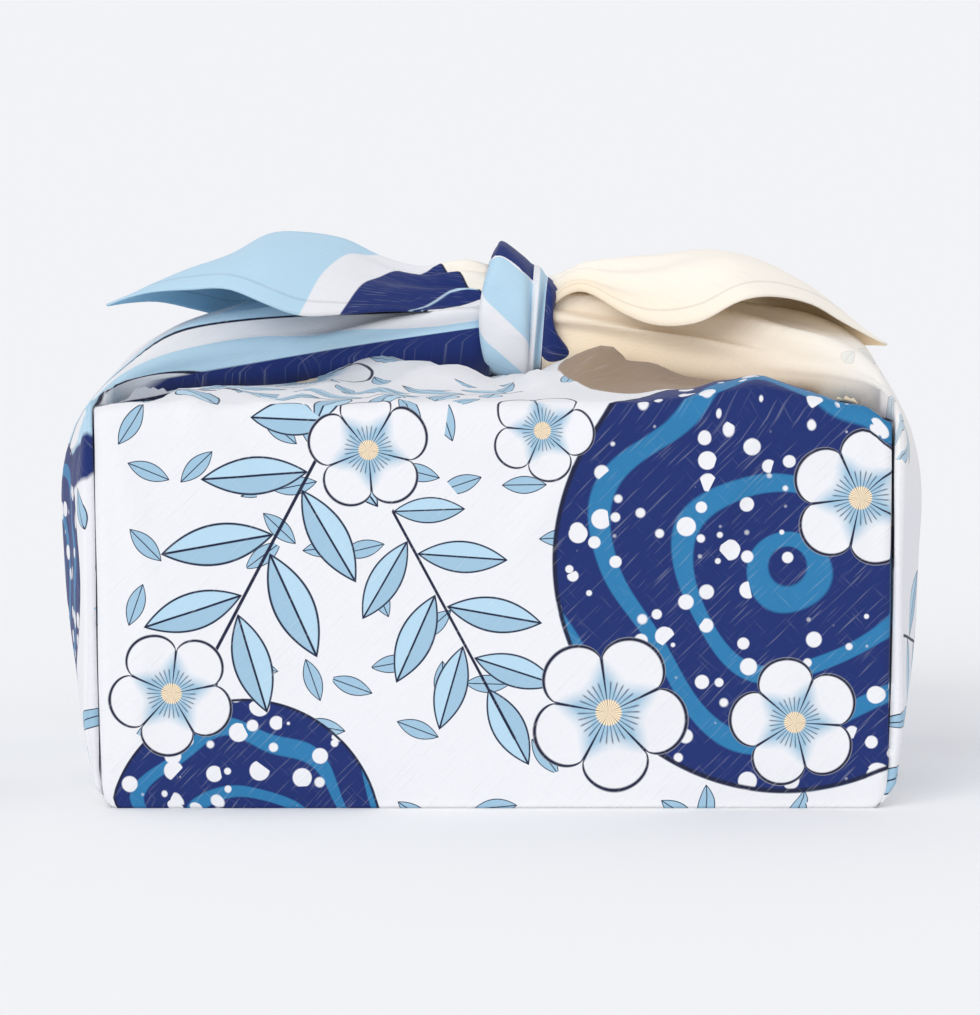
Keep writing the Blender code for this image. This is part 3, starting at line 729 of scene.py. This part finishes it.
def knot_point(row, turn):
    """A point of the knot: turn goes round it from behind, over the top and down in front."""
    numbered = [values + (i,) for i, values in enumerate(KNOT)]
    section = read_table(KNOT_COLUMNS + ("row",), numbered, "row", row)
    tall = (section["top"] - section["foot"]) / 2
    high = math.sin(turn)
    flat = math.copysign(abs(math.cos(turn)) ** 0.75, math.cos(turn))
    bend = (section["top_x"] + section["foot_x"]) / 2 - section["waist_x"]
    x = section["waist_x"] + high * (section["top_x"] - section["foot_x"]) / 2 + high * high * bend
    y = flat * (section["back"] if flat > 0 else -section["front"])
    soft = KNOT_UNEVEN * noise.noise(Vector((x * 90, y * 60, high * 2.5)))
    return Vector((x, y - soft, section["foot"] + tall * (1 + high)))


def knot_spot(row, turn):
    """The spot on the flat cloth that lies in the knot here."""
    return -0.475 - 0.0040 * row, 0.030 * (turn - math.pi)


def knot_print(row, turn):
    """Where in the print the knot's colours are: a pale left band with a white stripe across it and a
    dark tip, a white fold beside it, and a dark right band."""
    height = (1 + math.sin(turn)) / 2
    striped = STRIPE_ALONG - 0.15 * abs(height + 0.13 * row - 0.72)
    along = mixed(striped, DARK_ALONG, eased((height - 0.93 + 0.02 * row) / 0.04))
    for values in reversed(PLAIN_BANDS):
        band = dict(zip(BAND_COLUMNS, values))
        if row > band["row"]:
            along = band["along"]
    return along + STRIPE_SLANT * KNOT_PRINT_V - HALF_DIAGONAL, KNOT_PRINT_V


turns = breakpoints((0, 2 * math.pi), (72,))
steps = [[(row, turn) for turn in turns] for row in reversed(breakpoints((0, len(KNOT) - 1), (60,)))]
laid_sheet(wrap_form, steps, knot_point, knot_spot, knot_print, False)

wrap_mesh = bpy.data.meshes.new("wrapped cloth")
wrap_form.to_mesh(wrap_mesh)
wrap_form.free()
for face in wrap_mesh.polygons:
    face.use_smooth = True
wrapped_cloth = bpy.data.objects.new("wrapped_cloth", wrap_mesh)
scene.collection.objects.link(wrapped_cloth)
thickness = wrapped_cloth.modifiers.new("cloth thickness", "SOLIDIFY")
thickness.thickness = CLOTH_THICKNESS
thickness.offset = 0
thickness.material_offset = 1
thickness.material_offset_rim = 0

# The cotton's looks: a slub weave whose thick threads run along the square's sides, so aslant on the
# wrap, and a print of roundels, leaf sprays and blossoms on white, pale blue and cream grounds, with some
# shade and glow painted in.
WHITE = (0.820, 0.825, 0.850, 1)
LIGHT_BLUE = (0.467, 0.672, 0.813, 1)
PALE_BLUE = (0.341, 0.531, 0.680, 1)
MID_BLUE = (0.025, 0.193, 0.409, 1)
NAVY = (0.010, 0.026, 0.150, 1)
INK = (0.010, 0.014, 0.045, 1)
CREAM = (0.975, 0.915, 0.810, 1)
GOLDEN = (0.970, 0.790, 0.550, 1)
TAN = (0.330, 0.235, 0.160, 1)
SANDY_SHADE = (0.600, 0.520, 0.420, 1)
SLUB_WHITE = (0.900, 0.900, 0.920, 1)


def add_node(tree, kind, inputs=(), **settings):
    """A node with its settings and inputs: an input is a value, or the socket that feeds it."""
    node = tree.nodes.new("ShaderNode" + kind)
    for name, value in settings.items():
        setattr(node, name, value)
    for name, value in dict(inputs).items():
        if isinstance(value, bpy.types.NodeSocket):
            tree.links.new(value, node.inputs[name])
        else:
            node.inputs[name].default_value = value
    return node


def tree_of(*values):
    """The node tree of the sockets among these values."""
    return next(value.id_data for value in values if isinstance(value, bpy.types.NodeSocket))


def reckon(operation, *values, clamp=False):
    """One step of arithmetic, on values or sockets."""
    settings = {"operation": operation, "use_clamp": clamp}
    return add_node(tree_of(*values), "Math", enumerate(values), **settings).outputs[0]


def vector_step(operation, *values):
    """One step of arithmetic on vectors: the outputs Vector and Value, of which each step has one."""
    return add_node(tree_of(*values), "VectorMath", enumerate(values), operation=operation).outputs


def seen_along(spot, axis):
    """How far the spot lies along an axis."""
    return vector_step("DOT_PRODUCT", spot, axis)["Value"]


def both(first, second):
    """Where two masks meet, or a mask's share of another."""
    return reckon("MULTIPLY", first, second)


def size_of(value):
    """A value without its sign."""
    return reckon("ABSOLUTE", value)


def soft_step(value, start, end):
    """0 at start and 1 at end, whichever is the higher, and level past them."""
    inputs = {"Value": value, "From Min": start, "From Max": end}
    return add_node(tree_of(value), "MapRange", inputs).outputs[0]


def blended(share, under, over):
    """over laid on under by a mask."""
    inputs = {0: share, 6: under, 7: over}
    return add_node(tree_of(share, under), "Mix", inputs, data_type="RGBA").outputs[2]


def chosen(share, first, second):
    """The second vector where share is 1, and the first where it is 0."""
    inputs = {0: share, 4: first, 5: second}
    return add_node(tree_of(share), "Mix", inputs, data_type="VECTOR").outputs[1]


def new_group(name, inputs, outputs, kind="Float"):
    """A node group that is given vectors: its tree, and the sockets of its input and output nodes."""
    tree = bpy.data.node_groups.new(name, "ShaderNodeTree")
    for socket in inputs:
        tree.interface.new_socket(socket, in_out="INPUT", socket_type="NodeSocketVector")
    for socket in outputs:
        tree.interface.new_socket(socket, in_out="OUTPUT", socket_type="NodeSocket" + kind)
    return tree, tree.nodes.new("NodeGroupInput").outputs, tree.nodes.new("NodeGroupOutput").inputs


def put_out(gives, **values):
    """Links each value to the group's output of its name."""
    for name, value in values.items():
        value.id_data.links.new(value, gives[name])


def use_group(tree, group, inputs):
    """The outputs of a group's node in another tree."""
    return add_node(tree, "Group", inputs, node_tree=group).outputs


# Slub weave: Streak is the thick threads, Hem the line of its stitches, Height the whole fine relief.
# The slubs' sizes are for the threads along one side of the square and along the other. The hem is
# as wide as this where a diagonal crosses it.
LONG_SLUB = (0.020, 0.0011, 1)
CROSS_SLUB = (0.0010, 0.016, 1)
HEM_WIDTH = 0.011
weave, given, gives = new_group("slub weave", ("Flat",), ("Streak", "Hem", "Height"))
threads = []
for slub in (LONG_SLUB, CROSS_SLUB):
    turned = {"Vector": given["Flat"], "Rotation": (0, 0, math.radians(-45)), "Scale": slub}
    drawn_out = add_node(weave, "Mapping", turned, vector_type="TEXTURE").outputs[0]
    noise_inputs = {"Vector": drawn_out, "Scale": 1.0, "Detail": 1.0}
    threads.append(add_node(weave, "TexNoise", noise_inputs).outputs[0])
thick, other = threads
streak = soft_step(thick, 0.60, 0.76)
cross_streak = soft_step(other, 0.66, 0.80)
fine = reckon("ADD", both(thick, 0.5), both(other, 0.5))
fine = reckon("ADD", fine, both(streak, 0.6))
from_middle = seen_along(vector_step("ABSOLUTE", given["Flat"])["Vector"], (1, 1, 0))
hem = size_of(reckon("SUBTRACT", from_middle, HALF_DIAGONAL - HEM_WIDTH))
stitched = soft_step(hem, 0.0010, 0.0004)
relief = reckon("SUBTRACT", fine, both(stitched, 1.5))
put_out(gives, Streak=reckon("MAXIMUM", streak, both(cross_streak, 0.5)), Hem=stitched, Height=relief)

# A leaf: Inside is its body, Edge its drawn outline and middle vein, Shade its lighter half. Its
# length and width are in the lengths of Along and Across, the axes that it is measured by.
leaf, given, gives = new_group("leaf", ("Place", "Centre", "Along", "Across"), ("Inside", "Edge", "Shade"))
moved = vector_step("SUBTRACT", given["Place"], given["Centre"])["Vector"]
x = seen_along(moved, given["Along"])
y = seen_along(moved, given["Across"])
room = reckon("SUBTRACT", 1.0, both(x, x))
room = reckon("SUBTRACT", room, size_of(y))
inside = soft_step(room, 0.0, 0.04)
outline = reckon("SUBTRACT", inside, soft_step(room, 0.10, 0.15))
vein = both(inside, soft_step(size_of(y), 0.07, 0.04))
drawn = reckon("MAXIMUM", outline, vein, clamp=True)
put_out(gives, Inside=inside, Edge=drawn, Shade=soft_step(y, -0.03, 0.03))

# A spray: a stem with leaves in pairs on both sides of it, and one at its tip
SPRAY_COLUMNS = ("x", "y", "turn", "long", "wide")
SPRAY = (
    (0.84, 0.00, 0, 0.28, 0.110),
    (0.50, 0.205, 44, 0.28, 0.105),
    (0.12, 0.255, 52, 0.31, 0.115),
    (-0.30, 0.250, 58, 0.29, 0.105),
    (-0.66, 0.205, 64, 0.23, 0.085),
)
spray, given, gives = new_group("leaf spray", ("Place",), ("Inside", "Edge", "Shade"))
parts = add_node(spray, "SeparateXYZ", {"Vector": given["Place"]}).outputs
x, y = parts["X"], parts["Y"]
staggered = reckon("MULTIPLY_ADD", reckon("SIGN", y), 0.05, x)
one_side = add_node(spray, "CombineXYZ", {"X": staggered, "Y": size_of(y)}).outputs[0]
inside = edge = shade = 0.0
for row in SPRAY:
    facts = dict(zip(SPRAY_COLUMNS, row))
    turn = math.radians(facts["turn"])
    leaf_inputs = {
        "Place": given["Place"] if facts["y"] == 0 else one_side,
        "Centre": (facts["x"], facts["y"], 0),
        "Along": (math.cos(turn) / facts["long"], math.sin(turn) / facts["long"], 0),
        "Across": (-math.sin(turn) / facts["wide"], math.cos(turn) / facts["wide"], 0),
    }
    made = use_group(spray, leaf, leaf_inputs)
    inside = reckon("MAXIMUM", inside, made["Inside"])
    edge = reckon("MAXIMUM", edge, made["Edge"])
    shade = reckon("MAXIMUM", shade, both(made["Shade"], made["Inside"]))
stem = soft_step(size_of(y), 0.011, 0.007)
stem = both(stem, soft_step(size_of(x), 0.94, 0.92))
put_out(gives, Inside=inside, Edge=reckon("MAXIMUM", edge, stem), Shade=shade)

# A blossom: Inside is its petals, Edge what is drawn on them, Shade their tinted middles, Heart its eye
PETALS = 5
RAYS = 30
blossom, given, gives = new_group("blossom", ("Place",), ("Inside", "Edge", "Shade", "Heart"))
parts = add_node(blossom, "SeparateXYZ", {"Vector": given["Place"]}).outputs
out = vector_step("LENGTH", given["Place"])["Value"]
angle = reckon("ARCTAN2", parts["Y"], parts["X"])
petal = size_of(reckon("COSINE", both(angle, PETALS / 2)))
reach = reckon("MULTIPLY_ADD", reckon("POWER", petal, 0.55), 0.34, 0.66)
room = reckon("SUBTRACT", reach, out)
inside = soft_step(room, 0.0, 0.02)
outline = reckon("SUBTRACT", inside, soft_step(room, 0.045, 0.065))
parting = both(soft_step(petal, 0.10, 0.05), inside)
rays = soft_step(reckon("COSINE", both(angle, RAYS)), 0.55, 0.75)
rays = both(both(rays, soft_step(out, 0.40, 0.36)), 0.7)
drawn = reckon("MAXIMUM", outline, reckon("MAXIMUM", parting, rays))
tinted = soft_step(reckon("MULTIPLY_ADD", petal, 0.25, out), 0.72, 0.45)
put_out(gives, Inside=inside, Edge=drawn, Shade=tinted, Heart=soft_step(out, 0.17, 0.15))

# A roundel: a navy disc with brighter rings and white dots
DOTS_A_METRE = 112
roundel, given, gives = new_group("roundel", ("Flat", "Place"), ("Inside", "Edge", "Ring", "Dots"))
wander = add_node(roundel, "TexNoise", {"Vector": given["Place"], "Scale": 1.3, "Detail": 0.0})
out = vector_step("LENGTH", given["Place"])["Value"]
inside = soft_step(out, 1.0, 0.993)
outline = reckon("SUBTRACT", inside, soft_step(out, 0.982, 0.975))
uneven = reckon("MULTIPLY_ADD", wander.outputs[0], 0.5, out)
phase = reckon("FRACT", both(uneven, 3.1))
ring = both(soft_step(phase, 0.30, 0.27), soft_step(phase, 0.0, 0.03))
cell_inputs = {"Vector": given["Flat"], "Scale": DOTS_A_METRE, "Randomness": 1.0}
cells = add_node(roundel, "TexVoronoi", cell_inputs).outputs
chance = add_node(roundel, "SeparateColor", {"Color": cells["Color"]}).outputs[0]
size = reckon("MULTIPLY_ADD", chance, 0.62, -0.10)
dots = soft_step(reckon("SUBTRACT", size, cells["Distance"]), 0.0, 0.05)
put_out(gives, Inside=inside, Edge=outline, Ring=ring, Dots=dots)

# Where the motifs lie on the flat cloth, in metres, with their turn in degrees and half their size
MOTIF_COLUMNS = ("u", "v", "turn", "size")
ROUNDELS = (
    (0.122, -0.236, 0, 0.098),
    (-0.105, -0.120, 0, 0.058),
    (-0.030, -0.480, 0, 0.062),
    (-0.262, -0.075, 0, 0.052),
    (0.268, 0.095, 0, 0.060),
    (0.060, 0.235, 0, 0.090),
    (-0.150, 0.300, 0, 0.070),
    (0.020, 0.030, 0, 0.100),
    (-0.060, -0.620, 0, 0.070),
)
SPRAYS = (
    (-0.095, -0.238, 118, 0.078),
    (-0.020, -0.215, 62, 0.066),
    (-0.150, -0.345, 20, 0.075),
    (-0.040, -0.330, 160, 0.060),
    (0.120, -0.470, 200, 0.065),
    (-0.235, 0.060, 80, 0.075),
    (0.225, -0.060, 100, 0.075),
    (-0.060, 0.180, 250, 0.080),
    (0.150, 0.180, 300, 0.070),
    (0.000, -0.560, 90, 0.075),
    (-0.170, 0.180, 40, 0.060),
    (0.160, 0.330, 140, 0.070),
)
BLOSSOMS = (
    (0.048, -0.172, 10, 0.034),
    (0.126, -0.168, 40, 0.028),
    (0.152, -0.262, 65, 0.030),
    (-0.135, -0.180, 25, 0.027),
    (-0.052, -0.282, 50, 0.026),
    (0.020, -0.290, 5, 0.022),
    (-0.245, -0.015, 15, 0.032),
    (0.240, 0.020, 50, 0.032),
    (-0.090, 0.245, 30, 0.034),
    (0.110, 0.160, 0, 0.030),
    (-0.080, -0.400, 20, 0.030),
    (0.060, -0.540, 60, 0.032),
)


def nearest_motif(flat, table):
    """The flat cloth's spot as the nearest motif of a table sees it, in that motif's own size."""
    centre = along = closest = None
    for row in table:
        facts = dict(zip(MOTIF_COLUMNS, row))
        turn, size = math.radians(facts["turn"]), facts["size"]
        here = (facts["u"], facts["v"], 0)
        axis = (math.cos(turn) / size, math.sin(turn) / size, 0)
        away = reckon("DIVIDE", vector_step("DISTANCE", flat, here)["Value"], size)
        if closest is None:
            centre, along, closest = here, axis, away
            continue
        nearer = reckon("LESS_THAN", away, closest)
        centre, along = chosen(nearer, centre, here), chosen(nearer, along, axis)
        closest = reckon("MINIMUM", away, closest)
    moved = vector_step("SUBTRACT", flat, centre)["Vector"]
    across = vector_step("CROSS_PRODUCT", (0, 0, 1), along)["Vector"]
    place = {"X": seen_along(moved, along), "Y": seen_along(moved, across)}
    return add_node(flat.id_data, "CombineXYZ", place).outputs[0]


# The whole print, with the shade painted into it below, from the spot on the flat cloth. First loose
# petals on white.
CELLS_A_METRE = 36
PETAL_SHARE = 0.62
LOOSE_PETAL = {"Centre": (0, 0, 0), "Along": (105, 0, 0), "Across": (0, 260, 0)}
printed, given, gives = new_group("botanical print with painted shade", ("Flat",), ("Colour",), "Color")
flat = given["Flat"]
parts = add_node(printed, "SeparateXYZ", {"Vector": flat}).outputs
u, v = parts["X"], parts["Y"]
cell_inputs = {"Vector": flat, "Scale": CELLS_A_METRE, "Randomness": 0.9}
cells = add_node(printed, "TexVoronoi", cell_inputs).outputs
chance = add_node(printed, "SeparateColor", {"Color": cells["Color"]}).outputs
loose = vector_step("SUBTRACT", flat, cells["Position"])["Vector"]
any_turn = {"Vector": loose, "Angle": both(chance[0], 6.28)}
loose = add_node(printed, "VectorRotate", any_turn, rotation_type="Z_AXIS").outputs[0]
fallen = use_group(printed, leaf, {"Place": loose, **LOOSE_PETAL})
shown = reckon("LESS_THAN", chance[1], PETAL_SHARE)
colour = blended(both(fallen["Inside"], shown), WHITE, PALE_BLUE)
colour = blended(both(fallen["Edge"], shown), colour, INK)

# The tan patch in front of the knot, and the right end: cream, with golden shade painted on its front
# half, where its lower folds lie in shade
TAN_PLACE = (0.084, -0.378, 0)
TAN_RADIUS = 0.056
to_tan = vector_step("DISTANCE", flat, TAN_PLACE)["Value"]
colour = blended(soft_step(to_tan, TAN_RADIUS, TAN_RADIUS - 0.001), colour, TAN)
to_right = vector_step("DISTANCE", flat, (HALF_DIAGONAL, 0, 0))["Value"]
colour = blended(soft_step(to_right, 0.46, 0.36), colour, CREAM)
# Painted shade: a golden tint on the lower, front half of the gathered right end, near the knot
painted_warm_shade = both(soft_step(v, -0.050, -0.130), soft_step(u, 0.36, 0.48))
colour = blended(both(painted_warm_shade, 0.75), colour, GOLDEN)

# The left end, by the distance from the cloth's left corner: a navy ring, then pale blue with white
# stripes drawn with ink, and a navy edge along its front fold, partly print and partly painted shade under
# the gathered end's lower edge
RING_OUTER = 0.452
RING_INNER = 0.436
STRIPES_INNER = 0.188
STRIPES_A_METRE = 17
SOFT_EDGE = 0.002
to_left = vector_step("DISTANCE", flat, (-HALF_DIAGONAL, 0, 0))["Value"]
colour = blended(soft_step(to_left, RING_OUTER, RING_OUTER - SOFT_EDGE), colour, NAVY)
colour = blended(soft_step(to_left, RING_INNER, RING_INNER - SOFT_EDGE), colour, LIGHT_BLUE)
striped = soft_step(to_left, RING_INNER - SOFT_EDGE, RING_INNER - 2 * SOFT_EDGE)
striped = both(striped, soft_step(to_left, STRIPES_INNER, STRIPES_INNER + SOFT_EDGE))
wander = add_node(printed, "TexNoise", {"Vector": flat, "Scale": 7.0, "Detail": 0.0}).outputs[0]
stripe = reckon("MULTIPLY_ADD", v, STRIPES_A_METRE, both(wander, 1.6))
stripe = reckon("FRACT", stripe)
colour = blended(both(soft_step(stripe, 0.46, 0.45), striped), colour, INK)
colour = blended(both(soft_step(stripe, 0.43, 0.42), striped), colour, WHITE)
# Partly painted shade: navy along the front fold, which also stands in for the shade under the gathered
# end's lower edge
lower_edge_shade = soft_step(seen_along(flat, (0.082, 1, 0)), -0.1630, -0.1640)
lower_edge_shade = both(lower_edge_shade, soft_step(v, -0.138, -0.137))
colour = blended(both(lower_edge_shade, striped), colour, NAVY)

# The left free corner, from its tip inwards: pale blue, a white band, navy, and cream behind an ink line
WHITE_ALONG = 0.118
NAVY_ALONG = 0.142
INK_FROM_TIP = 0.1455
CREAM_FROM_TIP = 0.1465
on_corner = soft_step(to_left, STRIPES_INNER, STRIPES_INNER - SOFT_EDGE)
along = reckon("ADD", seen_along(flat, (1, -STRIPE_SLANT, 0)), HALF_DIAGONAL)
for start, paint in ((WHITE_ALONG, WHITE), (NAVY_ALONG, NAVY)):
    band = both(soft_step(along, start, start + 0.001), on_corner)
    colour = blended(band, colour, paint)
from_tip = reckon("ADD", seen_along(flat, (1, 0.14, 0)), HALF_DIAGONAL)
near_knot = soft_step(from_tip, 0.200, 0.195)
for start, paint in ((INK_FROM_TIP, INK), (CREAM_FROM_TIP, CREAM)):
    near_knot = both(near_knot, soft_step(from_tip, start, start + 0.0005))
    colour = blended(near_knot, colour, paint)

# Painted shade: the cloth folded away under the gathered ends, next to the knot, is darkened to a sandy
# colour
out = size_of(u)
under = both(soft_step(out, 0.45, 0.47), soft_step(out, 0.53, 0.52))
under = both(under, soft_step(size_of(v), 0.134, 0.137))
colour = blended(under, colour, SANDY_SHADE)

# The motifs, over all the grounds
for table, group in ((ROUNDELS, roundel), (SPRAYS, spray), (BLOSSOMS, blossom)):
    place = nearest_motif(flat, table)
    if group == roundel:
        made = use_group(printed, group, {"Flat": flat, "Place": place})
        fill = blended(made["Ring"], NAVY, MID_BLUE)
        fill = blended(made["Dots"], fill, WHITE)
    elif group == spray:
        made = use_group(printed, group, {"Place": place})
        fill = blended(made["Shade"], PALE_BLUE, LIGHT_BLUE)
    else:
        made = use_group(printed, group, {"Place": place})
        fill = blended(made["Shade"], WHITE, PALE_BLUE)
        fill = blended(made["Heart"], fill, GOLDEN)
    colour = blended(made["Inside"], colour, fill)
    colour = blended(made["Edge"], colour, INK)
put_out(gives, Colour=colour)

# How deep the print's colours are on the reverse, and how strongly stitches and thick threads show
REVERSE_DEPTH = 1.7
STITCH_SHARE = 0.13
SLUB_SHARE = 0.30
STREAK_SHARE = 0.45


def cotton(name, reverse):
    """The printed cotton. The print shows through to the reverse in deeper colours, and where its ground
    is cream
    the reverse gets a golden tint: a painted glow of light shining through the cloth."""
    material = bpy.data.materials.new(name)
    material.use_nodes = True
    tree = material.node_tree
    shader = tree.nodes["Principled BSDF"]
    flat_spot = add_node(tree, "UVMap", uv_map="cloth").outputs[0]
    woven = use_group(tree, weave, {"Flat": flat_spot})
    print_spot = add_node(tree, "UVMap", uv_map="print").outputs[0]
    ground = use_group(tree, printed, {"Flat": print_spot})["Colour"]
    if reverse:
        # Painted light: on the reverse of the cream ground, a golden tint stands in for light shining
        # through the cloth
        redness = add_node(tree, "SeparateColor", {"Color": ground}).outputs[0]
        deeper = add_node(tree, "Gamma", {"Color": ground, "Gamma": REVERSE_DEPTH}).outputs[0]
        ground = blended(soft_step(redness, 0.86, 0.94), deeper, GOLDEN)
    ground = blended(both(woven["Hem"], STITCH_SHARE), ground, INK)
    lighter = blended(SLUB_SHARE, ground, SLUB_WHITE)
    streaked = blended(both(woven["Streak"], STREAK_SHARE), ground, lighter)
    tree.links.new(streaked, shader.inputs["Base Color"])
    shader.inputs["Roughness"].default_value = 0.82
    shader.inputs["Sheen Weight"].default_value = 0.12
    shader.inputs["Specular IOR Level"].default_value = 0.25
    bump_inputs = {"Height": woven["Height"], "Strength": 0.35, "Distance": 0.0006}
    bump = add_node(tree, "Bump", bump_inputs)
    tree.links.new(bump.outputs[0], shader.inputs["Normal"])
    return material


wrap_mesh.materials.append(cotton("printed cotton", False))
wrap_mesh.materials.append(cotton("cotton reverse", True))

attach(wrapped_cloth, "root")
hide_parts("wrap_cloth")
